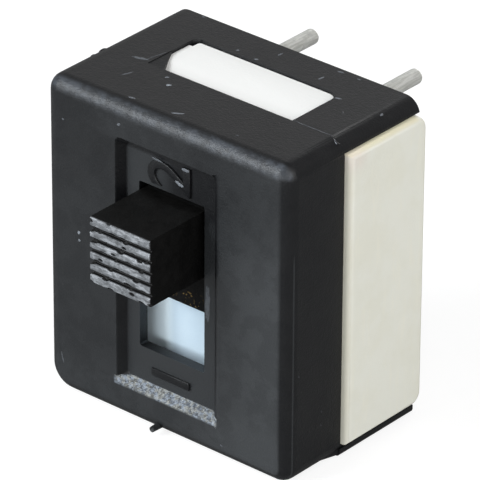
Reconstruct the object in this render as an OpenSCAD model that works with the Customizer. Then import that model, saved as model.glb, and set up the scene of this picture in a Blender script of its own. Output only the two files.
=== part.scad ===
// Miniature two-pole slide switch for a printed circuit board.
// A cream base with six pins is clipped into a black cover, and the black
// slider between them tips one rocking contact in each pole.
//
// Frame: +X to the right, +Y towards the pins, +Z up along the slider's
// travel. The origin is under the middle of the whole switch, on the plane
// that its lower plate stands on.

/* [Cover] */
// Height of the cover, along the slider's travel
cover_h = 12.7; // [12.5:0.1:16]
// Width of the cover
cover_w = 11.3; // [10.6:0.1:14]
// Depth of the cover, from its front face to its open back
cover_d = 7.12; // [6.8:0.02:9]
// Thickness of the front wall
front_wall = 0.82; // [0.7:0.02:1.3]
// Thickness of the side walls
side_wall = 0.8; // [0.5:0.05:1]
// Depth of the side walls, behind which the base comes through
side_d = 3; // [2.4:0.1:3.6]
// Thickness of the top and bottom plates
plate_t = 0.5; // [0.45:0.01:1]
// Radius of the outer edges
edge_r = 0.6; // [0.2:0.05:0.7]

/* [Windows] */
// Width of the latch window in each plate
window_w = 6.7; // [4:0.1:8]
// Depth of the latch window, front to back
window_d = 2.62; // [1.8:0.02:3]
// Distance of the latch window from the front face
window_y = 2.98; // [2:0.02:3.4]

/* [Pocket and slot] */
// Width of the pocket at the front face
pocket_w = 4.6; // [4.2:0.1:6]
// Height of the pocket at the front face
pocket_h = 9.98; // [9.4:0.02:11.4]
// Depth of the pocket
pocket_d = 0.4; // [0.2:0.05:0.5]
// How far the pocket's walls lean in from the front face to the floor
pocket_draft = 0.24; // [0.05:0.01:0.4]
// How far the raised position numbers stand up
mark_t = 0.1; // [0.04:0.01:0.15]
// Height of the position numbers
mark_h = 1.84; // [0.8:0.02:2]
// Width of the position number 2
mark_w = 1.16; // [0.7:0.02:1.2]
// Width of the numbers' strokes
mark_stroke = 0.24; // [0.1:0.01:0.3]

/* [Slider] */
// Travel of the slider between its two positions
travel = 3.5; // [2.4:0.1:4.2]
// Width of the knob
knob_w = 2.76; // [2:0.02:3.4]
// Height of the knob, along the travel
knob_h = 2.64; // [2:0.02:3.2]
// How far the knob stands out of the front face
knob_out = 2.35; // [1:0.05:5]
// Number of ribs across the knob's face
rib_count = 6; // [3:1:8]
// Width of the grooves between the ribs
groove_w = 0.18; // [0.1:0.01:0.22]
// Depth of the grooves between the ribs
groove_depth = 0.16; // [0.05:0.01:0.3]
// Height of the carriage, the plate that the knob stands on
carriage_h = 6; // [4:0.1:6.6]
// Width of the carriage
carriage_w = 7.5; // [6.8:0.1:8.2]
// Thickness of the carriage
carriage_t = 0.5; // [0.4:0.05:0.8]
// Outer diameter of the two plunger bosses
boss_d = 1.4; // [1.3:0.02:1.7]
// Length of the plunger bosses behind the carriage
boss_len = 1.55; // [1.2:0.05:1.7]

/* [Plungers] */
// Diameter of the plungers
plunger_d = 0.9; // [0.8:0.02:1]
// How far a plunger can be pushed in against its spring
plunger_stroke = 0.25; // [0.1:0.05:0.3]
// Diameter of the spring wire
wire_d = 0.1; // [0.06:0.01:0.12]
// Outer diameter of the spring
spring_d = 0.54; // [0.4:0.02:0.56]
// Number of turns of the spring
spring_turns = 7; // [4:1:9]

/* [Base] */
// How far the base's side pads stand out beyond the cover
pad_out = 0.3; // [0:0.05:0.6]
// How far the base stands out behind the cover
base_out = 0.1; // [0:0.05:0.6]
// Radius of the pads' upright edges
pad_r = 0.25; // [0.1:0.05:0.4]
// Radius of the pads' corners, seen from the side
pad_corner_r = 0.5; // [0.2:0.05:0.8]
// Thickness of the base behind the contacts
floor_t = 2.05; // [1.6:0.05:2.3]
// Height of the latches above the base
latch_h = 0.4; // [0.3:0.01:0.45]

/* [Terminals] */
// Diameter of the pins
pin_d = 0.6; // [0.5:0.02:0.8]
// Length of the pins behind the base
pin_len = 3.8; // [2:0.1:6]
// Radius of the pins' softened ends
nose_r = 0.13; // [0.05:0.01:0.2]
// Diameter of the shanks that hold the pins in the base
shank_d = 1; // [0.94:0.02:1.1]
// Distance between the rows of pins, along the travel
row_pitch = 4.7; // [4.4:0.01:4.8]
// Distance between the two columns of pins, one column for each pole
pole_pitch = 4.83; // [4.6:0.01:5.2]
// Thickness of the flattened heads of the outer terminals
head_t = 0.25; // [0.2:0.01:0.4]
// Length of the flattened heads of the outer terminals
head_len = 1.9; // [1.6:0.05:2.2]
// Depth of the sealing resin in the back of the base
seal_t = 0.4; // [0.2:0.05:0.8]

/* [Rocking contacts] */
// Distance between the two rockers, which stand outside the slot's view
rocker_pitch = 5.66; // [5.5:0.02:5.9]
// Width of the rocker blade
rocker_w = 1.36; // [1:0.02:1.4]
// Thickness of the rocker blade
rocker_t = 0.25; // [0.15:0.01:0.3]
// Length of one arm, from the pivot to its tip
rocker_arm = 4.3; // [4:0.05:4.5]
// Angle that the rocker turns to either side of its middle
rocker_tilt = 9; // [6:0.5:9]
// Radius of the rocker's pivot ridge
pivot_r = 0.35; // [0.25:0.01:0.4]

/* [Fits] */
// Running gap around the carriage
run_gap = 0.05; // [0.03:0.01:0.1]
// Radial gap between a plunger and its bore, and a pivot and its groove
bore_gap = 0.04; // [0.02:0.01:0.08]
// Gap between the base and the cover
fit_gap = 0.03; // [0.02:0.01:0.08]
// Gap between the knob and the ends of the slot
end_gap = 0.27; // [0.1:0.01:0.5]
// Gap between the knob and the sides of the slot
side_gap = 0.14; // [0.05:0.01:0.3]
// Gap between contact faces that meet
touch_gap = 0.03; // [0.02:0.01:0.05]

/* [Hidden] */

$fn = 48;
eps = 0.01;

// The flag of the numeral 1: its reach along the stroke, its drop and its end
mark_flag = 0.48;
mark_flag_drop = 0.64;
mark_flag_end = 0.2;
mark_one_low = 0.1;

// Places along Z, measured from the plane that the switch stands on
mid_z = cover_h / 2;
knob_z = mid_z + travel / 2;
slot_h = travel + knob_h + 2 * end_gap;
slot_w = knob_w + 2 * side_gap;
mark_z = (slot_h + pocket_h - 2 * pocket_draft) / 4;
pole_x = pole_pitch / 2;
rocker_x = rocker_pitch / 2;

// Places along Y, measured from the cover's front face
carriage_y = front_wall + run_gap;
base_y = carriage_y + carriage_t + run_gap;
base_back_y = cover_d + base_out;
floor_y = base_back_y - floor_t;
pin_tip_y = base_back_y + pin_len;
boss_end_y = carriage_y + carriage_t + boss_len;

// The rocker lies flat on the upper terminal's head when the slider is up
button_t = 0.25;
button_r = 0.45;
button_at = rocker_arm - button_r;
arm_back_y = floor_y - head_t - touch_gap - button_t;
pivot_y = arm_back_y - rocker_t / 2;
cradle_y = arm_back_y + touch_gap;
cradle_half = 0.9;

// The plunger's tip clears the rocker's arm as both pass the middle
half_travel = travel / 2;
arm_rise = half_travel / 2 * tan(rocker_tilt / 2);
tip_gap = arm_rise + touch_gap / 2;
tip_y = pivot_y - rocker_t / 2 - tip_gap;
bore_end_wall = 0.2;
bore_end_y = carriage_y + bore_end_wall;
bore_r = plunger_d / 2 + bore_gap;
bare_spring = 0.5;
plunger_y = bore_end_y + plunger_stroke + bare_spring;
spring_hole_r = spring_d / 2 + bore_gap;
tip_wall = 0.35;
spring_seat = 0.01;
spring_end_y = tip_y - plunger_d / 2 - tip_wall;

// The wells in the base
well_gap = 0.07;
well_end_gap = 0.1;
well_w = max(boss_d, rocker_w) + 2 * well_gap;
well_h = 2 * row_pitch + shank_d + 2 * well_end_gap;
head_side_gap = 0.15;
head_w = well_w - 2 * head_side_gap;
head_past_shank = 0.05;
front_lap = 1;
base_w = cover_w - 2 * (side_wall + fit_gap);
pad_w = cover_w + 2 * pad_out;
base_h = cover_h - 2 * (plate_t + fit_gap);
latch_w = window_w - 4 * fit_gap;
latch_y = max(window_y, side_d) + fit_gap;
latch_end_y = window_y + window_d - fit_gap;
latch_ramp = 0.8;
latch_ramp_h = 0.2;
latch_root = 0.1;
seal_side = 0.5;
seal_end = 0.2;
seal_w = pole_pitch + shank_d + 2 * seal_side;
seal_h = 2 * row_pitch + shank_d + 2 * seal_end;
seal_below = 0.1;
shank_gap = 0.01;

// The mould leaves one small gate stub at the cover's lower front edge
stub_r = 0.15;
stub_out = 0.3;
stub_x = -0.35;
stub_z = 0.27;

// The origin lies under the middle of the whole switch
origin_y = (pin_tip_y - knob_out) / 2;

// A rectangle from its lower left corner, with a radius at each corner that
// keep names: [lower left, lower right, upper right, upper left]
module rounded_rect(size, r, keep = [true, true, true, true]) {
    corners = [[r, r], [size.x - r, r], [size.x - r, size.y - r], [r, size.y - r]];
    translate([r, 0]) square([size.x - 2 * r, size.y]);
    translate([0, r]) square([size.x, size.y - 2 * r]);
    for (i = [0:3]) translate(corners[i])
        if (keep[i]) circle(r);
        else translate([-r, -r]) square(2 * r);
}

// Turns a shape drawn in X and Y so that its Y runs along Z, and sends the
// depth of its extrusion along +Y
module stand_up(depth) {
    translate([0, depth, 0]) rotate([90, 0, 0]) linear_extrude(depth) children();
}

// Turns a shape drawn in X and Y so that its X runs along +Y and its Y along
// Z, and sends the width of its extrusion along +X
module side_on(width) {
    translate([-width / 2, 0, 0]) rotate([90, 0, 90]) linear_extrude(width) children();
}

// A round bar along +Y
module bar(r, y0, y1) {
    translate([0, y0, 0]) rotate([-90, 0, 0]) cylinder(r = r, h = y1 - y0);
}

// The outline of the cover: its front edges and its long edges are rounded
module cover_outline() {
    intersection() {
        translate([-cover_w / 2, 0, 0]) stand_up(cover_d)
            rounded_rect([cover_w, cover_h], edge_r);
        side_on(cover_w)
            rounded_rect([cover_d, cover_h], edge_r, [true, false, false, true]);
        translate([-cover_w / 2, 0, 0]) linear_extrude(cover_h)
            rounded_rect([cover_w, cover_d], edge_r, [true, true, false, false]);
    }
}

// The sunk field around the slot, with walls that lean in to its floor
module pocket() {
    x0 = pocket_w / 2;
    z0 = pocket_h / 2;
    x1 = x0 - pocket_draft;
    z1 = z0 - pocket_draft;
    grow = pocket_draft / pocket_d;
    xf = x0 + grow * eps;
    zf = z0 + grow * eps;
    translate([0, 0, mid_z]) polyhedron(
        points = [
            [-xf, -eps, -zf], [xf, -eps, -zf], [xf, -eps, zf], [-xf, -eps, zf],
            [-x1, pocket_d, -z1], [x1, pocket_d, -z1], [x1, pocket_d, z1], [-x1, pocket_d, z1]
        ],
        faces = [
            [3, 2, 1, 0], [4, 5, 6, 7], [0, 1, 5, 4],
            [1, 2, 6, 5], [2, 3, 7, 6], [3, 0, 4, 7]
        ]
    );
}

// The numeral 1, lying on its side with its foot to the right
module mark_one() {
    left = -mark_h / 2;
    top = mark_stroke / 2;
    flag_end = top - mark_flag_drop;
    translate([left, -top]) square([mark_h, mark_stroke]);
    polygon([
        [left, top], [left, -top],
        [left + mark_flag, flag_end], [left + mark_flag, flag_end + mark_flag_end]
    ]);
}

// The numeral 2, lying on its side: a hook, a sloping stroke and a foot
module mark_two() {
    hook_r = mark_w / 2;
    foot_x = mark_h / 2 - mark_stroke;
    translate([hook_r - mark_h / 2, 0]) intersection() {
        difference() {
            circle(hook_r);
            circle(hook_r - mark_stroke);
        }
        union() {
            translate([-mark_w, -mark_w]) square([mark_w, 2 * mark_w]);
            translate([-mark_w, 0]) square([2 * mark_w, mark_w]);
        }
    }
    polygon([
        [hook_r - mark_h / 2, hook_r - mark_stroke], [hook_r - mark_h / 2 + mark_stroke, hook_r],
        [foot_x + mark_stroke, mark_stroke - hook_r], [foot_x, -hook_r]
    ]);
    translate([foot_x, -hook_r]) square([mark_stroke, mark_w]);
}

module cover() {
    color([0.13, 0.13, 0.14]) {
        difference() {
            cover_outline();
            // cavity behind the front wall, between the side walls
            translate([-cover_w / 2 + side_wall, front_wall, plate_t])
                cube([cover_w - 2 * side_wall, cover_d, cover_h - 2 * plate_t]);
            // behind the side walls the base comes out to the sides
            translate([-cover_w, side_d, plate_t])
                cube([2 * cover_w, cover_d, cover_h - 2 * plate_t]);
            // one latch window through each plate
            translate([-window_w / 2, window_y, -eps])
                cube([window_w, window_d, cover_h + 2 * eps]);
            pocket();
            translate([-slot_w / 2, -eps, mid_z - slot_h / 2])
                cube([slot_w, front_wall + 2 * eps, slot_h]);
        }
        // position numbers, one at each end of the slot
        translate([0, pocket_d - mark_t, mid_z - mark_z - mark_one_low])
            stand_up(mark_t + eps) mark_one();
        translate([0, pocket_d - mark_t, mid_z + mark_z])
            stand_up(mark_t + eps) mark_two();
        translate([stub_x, 0, stub_z]) bar(stub_r, -stub_out, edge_r);
    }
}

// A latch that snaps into a window, with a ramp at its front
module latch() {
    side_on(latch_w) polygon([
        [latch_y, -latch_root], [latch_y, latch_h - latch_ramp_h],
        [latch_y + latch_ramp, latch_h], [latch_end_y, latch_h], [latch_end_y, -latch_root]
    ]);
}

module base() {
    z0 = mid_z - base_h / 2;
    color([0.87, 0.86, 0.8]) difference() {
        union() {
            // the part inside the side walls
            translate([-base_w / 2, base_y, z0])
                cube([base_w, side_d + front_lap - base_y, base_h]);
            // the part behind them, with a pad that shows on each side
            intersection() {
                translate([-pad_w / 2, side_d + fit_gap, z0]) linear_extrude(base_h)
                    rounded_rect([pad_w, base_back_y - side_d - fit_gap], pad_r);
                translate([0, side_d + fit_gap, z0]) side_on(pad_w)
                    rounded_rect([base_back_y - side_d - fit_gap, base_h], pad_corner_r,
                        [false, true, true, false]);
            }
            translate([0, 0, z0 + base_h]) latch();
            translate([0, 0, z0]) mirror([0, 0, 1]) latch();
        }
        for (side = [-1, 1]) {
            translate([side * rocker_x - well_w / 2, base_y - eps, mid_z - well_h / 2])
                cube([well_w, floor_y - base_y + eps, well_h]);
            for (row = [-1:1]) translate([side * pole_x, 0, mid_z + row * row_pitch])
                bar(shank_d / 2 + shank_gap, floor_y - eps - shank_gap, base_back_y + eps);
        }
        translate([-seal_w / 2, base_back_y - seal_t - seal_below, mid_z - seal_h / 2])
            cube([seal_w, seal_t + seal_below + eps, seal_h]);
    }
}

// Resin that is poured around the pins in the back of the base
module terminal_seal() {
    color([0.1, 0.12, 0.12]) difference() {
        translate([-seal_w / 2 + shank_gap, base_back_y - seal_t - seal_below + shank_gap,
            mid_z - seal_h / 2 + shank_gap])
            cube([seal_w - 2 * shank_gap, seal_t - shank_gap, seal_h - 2 * shank_gap]);
        for (side = [-1, 1], row = [-1:1])
            translate([side * pole_x, 0, mid_z + row * row_pitch])
                bar(shank_d / 2 + shank_gap, floor_y, base_back_y + eps);
    }
}

// The knob with its ribbed face, the carriage and the two plunger bosses
module slider() {
    rib_pitch = knob_h / rib_count;
    color([0.06, 0.06, 0.065]) difference() {
        union() {
            translate([-knob_w / 2, -knob_out, knob_z - knob_h / 2])
                cube([knob_w, knob_out + carriage_y + eps, knob_h]);
            translate([-carriage_w / 2, carriage_y, knob_z - carriage_h / 2])
                cube([carriage_w, carriage_t, carriage_h]);
            for (side = [-1, 1]) translate([side * rocker_x, 0, knob_z])
                bar(boss_d / 2, carriage_y, boss_end_y);
        }
        for (i = [1:rib_count - 1])
            translate([-knob_w, -knob_out - eps, knob_z - knob_h / 2 + i * rib_pitch - groove_w / 2])
                cube([2 * knob_w, groove_depth + eps, groove_w]);
        for (side = [-1, 1]) translate([side * rocker_x, 0, knob_z])
            bar(bore_r, bore_end_y, boss_end_y + eps);
    }
}

// A round-nosed plunger, hollow for its spring
module plunger(side) {
    r = plunger_d / 2;
    color([0.75, 0.62, 0.38]) translate([side * rocker_x, 0, knob_z]) difference() {
        union() {
            bar(r, plunger_y, tip_y - r);
            translate([0, tip_y - r, 0]) rotate([-90, 0, 0]) rotate_extrude()
                intersection() {
                    circle(r);
                    square(r);
                }
        }
        bar(spring_hole_r, plunger_y - eps, spring_end_y);
    }
}

// Points of a ring around the coil's wire, at angle a along the coil
function coil_ring(a, y, coil_r, wire_r, sides) = [
    for (i = [0:sides - 1]) let (b = 360 * i / sides)
        [(coil_r + wire_r * cos(b)) * cos(a), y + wire_r * sin(b), (coil_r + wire_r * cos(b)) * sin(a)]
];

// A coil spring between the bottom of the bore and the plunger's hollow
module plunger_spring(side) {
    sides = 8;
    per_turn = 14;
    rings = spring_turns * per_turn;
    wire_r = wire_d / 2;
    coil_r = spring_d / 2 - wire_r;
    y0 = bore_end_y + wire_r + spring_seat;
    rise = spring_end_y - wire_r - spring_seat - y0;
    points = [
        for (k = [0:rings]) each
            coil_ring(360 * k / per_turn, y0 + rise * k / rings, coil_r, wire_r, sides)
    ];
    walls = [
        for (k = [0:rings - 1], i = [0:sides - 1])
            let (a = k * sides + i, b = k * sides + (i + 1) % sides)
                [a, a + sides, b + sides, b]
    ];
    first = [for (i = [0:sides - 1]) i];
    last = [for (i = [sides - 1:-1:0]) rings * sides + i];
    color([0.7, 0.71, 0.72]) translate([side * rocker_x, 0, knob_z])
        polyhedron(points = points, faces = concat(walls, [first, last]));
}

// One arm of the rocker, pointing up from the pivot, with its contact button
module rocker_arm() {
    translate([-rocker_w / 2, -rocker_t / 2, 0]) cube([rocker_w, rocker_t, rocker_arm]);
    translate([0, 0, button_at]) bar(button_r, 0, rocker_t / 2 + button_t);
}

// The rocking contact with its upper arm down on the upper terminal
module contact_rocker(side) {
    color([0.8, 0.79, 0.75]) translate([side * rocker_x, pivot_y, mid_z]) {
        rocker_arm();
        rotate([-2 * rocker_tilt, 0, 0]) mirror([0, 0, 1]) rocker_arm();
        intersection() {
            rotate([0, 90, 0]) cylinder(r = pivot_r, h = rocker_w, center = true);
            rotate([-rocker_tilt, 0, 0]) translate([-rocker_w, 0, -2 * pivot_r])
                cube([2 * rocker_w, 2 * pivot_r, 4 * pivot_r]);
        }
    }
}

// A round pin with a softened end, on the thicker shank that the base holds
module pin() {
    r = pin_d / 2;
    length = pin_tip_y - floor_y + eps;
    translate([0, floor_y - eps, 0]) rotate([-90, 0, 0]) rotate_extrude() {
        square([r, length - nose_r]);
        square([r - nose_r, length]);
        translate([r - nose_r, length - nose_r]) circle(nose_r);
    }
    bar(shank_d / 2, floor_y - eps, base_back_y);
}

// The middle terminal, with a groove that the rocker turns in
module common_terminal(side) {
    color([0.72, 0.72, 0.69]) translate([0, 0, mid_z]) {
        translate([side * pole_x, 0, 0]) pin();
        translate([side * rocker_x, 0, 0]) difference() {
            translate([-head_w / 2, cradle_y, -cradle_half])
                cube([head_w, floor_y - cradle_y, 2 * cradle_half]);
            translate([0, pivot_y, 0]) rotate([0, 90, 0])
                cylinder(r = pivot_r + bore_gap, h = 2 * head_w, center = true);
        }
    }
}

// An outer terminal, with its head reaching in under the rocker's arm
module outer_terminal(side, row) {
    inner = row_pitch + shank_d / 2 + head_past_shank - head_len;
    color([0.72, 0.72, 0.69]) translate([0, 0, mid_z])
        mirror([0, 0, row < 0 ? 1 : 0]) {
            translate([side * pole_x, 0, row_pitch]) pin();
            translate([side * rocker_x - head_w / 2, floor_y - head_t, inner])
                cube([head_w, head_t, head_len]);
        }
}

// Puts a part in the switch's own frame
module placed() {
    translate([0, -origin_y, 0]) children();
}

placed() cover();
placed() base();
placed() terminal_seal();
placed() slider();
placed() plunger(-1);  // plunger_left
placed() plunger(1);  // plunger_right
placed() plunger_spring(-1);  // plunger_spring_left
placed() plunger_spring(1);  // plunger_spring_right
placed() contact_rocker(-1);  // contact_rocker_left
placed() contact_rocker(1);  // contact_rocker_right
placed() common_terminal(-1);  // common_terminal_left
placed() common_terminal(1);  // common_terminal_right
placed() outer_terminal(-1, 1);  // upper_terminal_left
placed() outer_terminal(1, 1);  // upper_terminal_right
placed() outer_terminal(-1, -1);  // lower_terminal_left
placed() outer_terminal(1, -1);  // lower_terminal_right
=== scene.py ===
import math
import bpy
from mathutils import Matrix, Vector


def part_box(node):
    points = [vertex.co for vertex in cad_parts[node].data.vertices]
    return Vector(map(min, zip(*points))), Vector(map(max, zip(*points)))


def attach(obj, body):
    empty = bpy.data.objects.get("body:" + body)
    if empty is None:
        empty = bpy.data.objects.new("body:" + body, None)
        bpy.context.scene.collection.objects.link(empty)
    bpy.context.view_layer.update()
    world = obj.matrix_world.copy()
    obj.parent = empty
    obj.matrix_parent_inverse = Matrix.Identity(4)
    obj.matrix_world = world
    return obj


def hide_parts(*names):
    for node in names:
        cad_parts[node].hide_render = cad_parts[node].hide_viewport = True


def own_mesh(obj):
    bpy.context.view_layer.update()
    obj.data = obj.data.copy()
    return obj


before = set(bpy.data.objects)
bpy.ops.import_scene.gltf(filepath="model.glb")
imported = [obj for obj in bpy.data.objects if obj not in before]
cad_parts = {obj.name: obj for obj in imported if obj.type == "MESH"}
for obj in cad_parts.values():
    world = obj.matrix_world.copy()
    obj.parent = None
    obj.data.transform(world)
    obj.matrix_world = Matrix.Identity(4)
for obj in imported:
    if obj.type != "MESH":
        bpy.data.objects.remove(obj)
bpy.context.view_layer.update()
bpy.context.scene.view_settings.view_transform = "Standard"

# Cover: one black moulding that clips over the base. Its front wall holds the
# sunk field with the slot, and each of its two long plates a latch window.
# The mould left two numerals, a gate stub and a little flash on it.
MM = 0.001  # sizes are in millimetres until a piece is finished
EDGE_ROUND = 0.6
LEFT_FOOT_ROUND = 1.0
FRONT_WALL = 0.82  # how thick each wall is
SIDE_WALL = 0.8
SIDE_BACK = -1.335  # the back edge of the side walls
PLATE = 0.5
BEYOND = 4  # where cutters end, clear of the cover's back


def node_box(name):
    """The lowest and highest corner of a CAD node, in millimetres"""
    return [Vector([round(v / MM, 3) for v in corner]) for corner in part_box(name)]


def take(piece):
    """Makes the piece the only one selected"""
    bpy.ops.object.select_all(action="DESELECT")
    bpy.context.view_layer.objects.active = piece
    piece.select_set(True)


def bake_place():
    """Puts the active object's place, turn and size into its mesh"""
    bpy.ops.object.transform_apply(location=True, rotation=True, scale=True)


def block(name, low, high):
    """A cuboid between two corners"""
    bpy.ops.object.select_all(action="DESELECT")
    middle = [(a + b) / 2 for a, b in zip(low, high)]
    size = [b - a for a, b in zip(low, high)]
    bpy.ops.mesh.primitive_cube_add(size=1, location=middle, scale=size)
    piece = bpy.context.object
    piece.name = name
    bake_place()
    return piece


ALONG = 0.9  # an edge or normal with this share of an axis runs along it
NEAR = 0.01


def pick(piece, kind, test):
    """Opens the piece in edit mode with the edges or faces that pass the test.
    An edge is tested by its middle and direction, a face by its middle and normal."""
    take(piece)
    bpy.ops.object.mode_set(mode="EDIT")
    bpy.ops.mesh.select_mode(type=kind)
    bpy.ops.mesh.select_all(action="DESELECT")
    bpy.ops.object.mode_set(mode="OBJECT")
    mesh = piece.data
    if kind == "FACE":
        for face in mesh.polygons:
            face.select = test(face.center, face.normal)
    else:
        for edge in mesh.edges:
            a, b = (mesh.vertices[i].co for i in edge.vertices)
            edge.select = test((a + b) / 2, (b - a).normalized())
    bpy.ops.object.mode_set(mode="EDIT")


def round_edges(piece, test, radius, steps=3):
    """Rounds the edges that pass the test"""
    pick(piece, "EDGE", test)
    bpy.ops.mesh.bevel(offset=radius, segments=steps, profile=0.5, affect="EDGES")
    bpy.ops.object.mode_set(mode="OBJECT")


def shift(piece, kind, test, way):
    """Moves the edges or faces that pass the test"""
    pick(piece, kind, test)
    bpy.ops.transform.translate(value=way)
    bpy.ops.object.mode_set(mode="OBJECT")


def turned_block(name, low, high, degrees, way):
    """A cuboid turned about the upright axis, then moved"""
    piece = block(name, low, high)
    bpy.ops.transform.rotate(value=-math.radians(degrees), orient_axis="Z", center_override=(0, 0, 0))
    bpy.ops.transform.translate(value=way)
    bake_place()
    return piece


def apply_modifier(piece, kind, **settings):
    """Gives the piece a modifier with these settings, and applies it"""
    take(piece)
    modifier = piece.modifiers.new(kind.lower(), kind)
    for key, value in settings.items():
        setattr(modifier, key, value)
    bpy.ops.object.modifier_apply(modifier=modifier.name)


def carve(piece, *cutters, join=False):
    """Cuts the cutters out of the piece, or joins them to it"""
    for cutter in cutters:
        operation = "UNION" if join else "DIFFERENCE"
        apply_modifier(piece, "BOOLEAN", operation=operation, object=cutter, solver="EXACT")
        bpy.data.objects.remove(cutter)


SHARP_ANGLE = math.radians(40)
SMOOTH_ANGLE = math.radians(42)
SLIVER = 0.0004


def soften(piece, width=0.03, steps=2):
    """Takes the knife edge off every corner that is still sharp"""
    apply_modifier(piece, "BEVEL", width=width, segments=steps, limit_method="ANGLE",
                   angle_limit=SHARP_ANGLE, miter_outer="MITER_ARC")


def finish_piece(piece, body, slot, material, *nodes):
    """Clears slivers, brings the piece to metres, smooths it and puts it in the frame"""
    take(piece)
    bpy.ops.object.mode_set(mode="EDIT")
    bpy.ops.mesh.select_all(action="SELECT")
    bpy.ops.mesh.remove_doubles(threshold=SLIVER)
    bpy.ops.mesh.dissolve_degenerate(threshold=SLIVER)
    bpy.ops.object.mode_set(mode="OBJECT")
    bpy.ops.transform.resize(value=(MM, MM, MM), center_override=(0, 0, 0))
    bake_place()
    bpy.ops.object.shade_smooth_by_angle(angle=SMOOTH_ANGLE)
    apply_modifier(piece, "WEIGHTED_NORMAL", keep_sharp=True, weight=80)
    piece.data.materials.clear()
    piece.data.materials.append(material)
    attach(piece, body)
    if nodes:
        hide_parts(*nodes)


cover_high = node_box("cover")[1]
front = -4.335
back = cover_high.y
SKIN_LIFT = 0.012  # room for the flecks that lie on the top
top = cover_high.z - SKIN_LIFT
side = cover_high.x
middle = cover_high.z / 2
cover = block("cover_shell", (-side, front, 0), (side, back, top))
round_edges(cover, lambda mid, way: abs(way.y) > ALONG and mid.x < 0 and mid.z < 1, LEFT_FOOT_ROUND, 10)
round_edges(cover, lambda mid, way: abs(way.y) > ALONG and mid.y < 0 and min(
    abs(mid.z - top) + abs(mid.x + side), abs(mid.x - side)) < NEAR, EDGE_ROUND + 0.02, 8)
round_edges(cover, lambda mid, way: abs(mid.y - front) < NEAR, EDGE_ROUND, 8)

behind_front = front + FRONT_WALL
cavity = block("cavity", (SIDE_WALL - side, behind_front, PLATE), (side - SIDE_WALL, BEYOND, top - PLATE))
behind_sides = block("behind_sides", (-7, SIDE_BACK, PLATE), (7, BEYOND, top - PLATE))
window = block("window", (-3.38, -1.355, -1), (3.3, 1.265, 14))
round_edges(window, lambda mid, way: abs(way.z) > ALONG and mid.y > 1 and mid.x > 0, 0.5, 5)
round_edges(window, lambda mid, way: abs(way.z) > ALONG and mid.y > 1 and mid.x < -3, 0.25, 4)
carve(cover, cavity, behind_sides, window)

# the sunk field, whose walls lean in, and the slot in its floor
POCKET_DEPTH = 0.4
POCKET_FLARE = 0.24
SLOT_X = 1.52
SLOT_LOW, SLOT_HIGH = 3.01, 9.69
floor_x, floor_z = 2.06, 4.75
mouth = (floor_x + 2 * POCKET_FLARE) / floor_x, (floor_z + 2 * POCKET_FLARE) / floor_z
pocket_floor = front + POCKET_DEPTH
pocket = block("pocket", (-floor_x, front - POCKET_DEPTH, middle - floor_z),
               (floor_x, pocket_floor, middle + floor_z))
pick(pocket, "FACE", lambda mid, normal: normal.y < -ALONG)
bpy.ops.transform.resize(value=(mouth[0], 1, mouth[1]), center_override=(0, front, middle))
bpy.ops.object.mode_set(mode="OBJECT")
round_edges(pocket, lambda mid, way: abs(way.y) > 0.7, 0.2, 4)
carve(cover, pocket)
round_edges(cover, lambda mid, way: abs(mid.y - front) < NEAR and 2.15 < mid.x < 2.4
            and 1.3 < mid.z < top - 1.3, 0.26, 5)
slot = block("slot", (-SLOT_X, -5, SLOT_LOW), (SLOT_X, -3, SLOT_HIGH))
round_edges(slot, lambda mid, way: abs(way.y) > ALONG, 0.08, 3)
carve(cover, slot)
soften(cover)

# behind the side wall the lower plate keeps a sharper edge than in front of it
foot = block("foot", (4.9, -1.35, 0.002), (side - 0.01, back - 0.01, 0.32))
ramp = block("ramp", (4.92, -2.05, 0.004), (side - 0.014, -1.2, 0.31))
shift(ramp, "FACE", lambda mid, normal: normal.y < -ALONG, (-0.25, 0, 0))
for strip in (foot, ramp):
    round_edges(strip, lambda mid, way: abs(way.y) > 0.8 and mid.x > 5.3 and mid.z < 0.1, 0.17, 4)
carve(cover, foot, ramp, join=True)

# the corner of the upper window that the mould left filled, and its feathered end
web = block("web", (-3.5, -1.5, 12.3), (-2.5, 0.1, top - 0.01))
shift(web, "FACE", lambda mid, normal: normal.x > ALONG, (0, 0, -0.1))
carve(web, turned_block("slant", (0, -2, 12), (3, 2, 13), 28.5, (-3.4, 0.0, 0)))
carve(cover, web, join=True)

# numerals 2 and 1, lying on their sides, raised from the floor of the field
NUMERAL_SIZE = 2.5
NUMERAL_RISE = 0.06
quarter = math.radians(90)
lying = Matrix.Rotation(quarter, 4, "X") @ Matrix.Rotation(quarter, 4, "Z")
for numeral, across, up, tall in (("2", -0.07, 10.395, 1.1), ("1", -0.02, 2.2, 1.0)):
    bpy.ops.object.select_all(action="DESELECT")
    bpy.ops.object.text_add()
    mark = bpy.context.object
    mark.data.body = numeral
    mark.data.size = NUMERAL_SIZE
    mark.data.extrude = NUMERAL_RISE
    mark.data.bevel_depth = 0.03
    mark.data.bevel_resolution = 2
    mark.data.resolution_u = 6
    bpy.ops.object.convert(target="MESH")
    mark = bpy.context.object
    spots = [v.co for v in mark.data.vertices]
    centre = [(min(p[i] for p in spots) + max(p[i] for p in spots)) / 2 for i in (0, 1)]
    mark.data.transform(Matrix.Translation((-centre[0], -centre[1], 0)))
    mark.data.transform(lying @ Matrix.Diagonal((1, tall, 1, 1)))
    mark.data.transform(Matrix.Translation((across, pocket_floor - 0.01, up)))
    carve(cover, mark, join=True)

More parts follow.
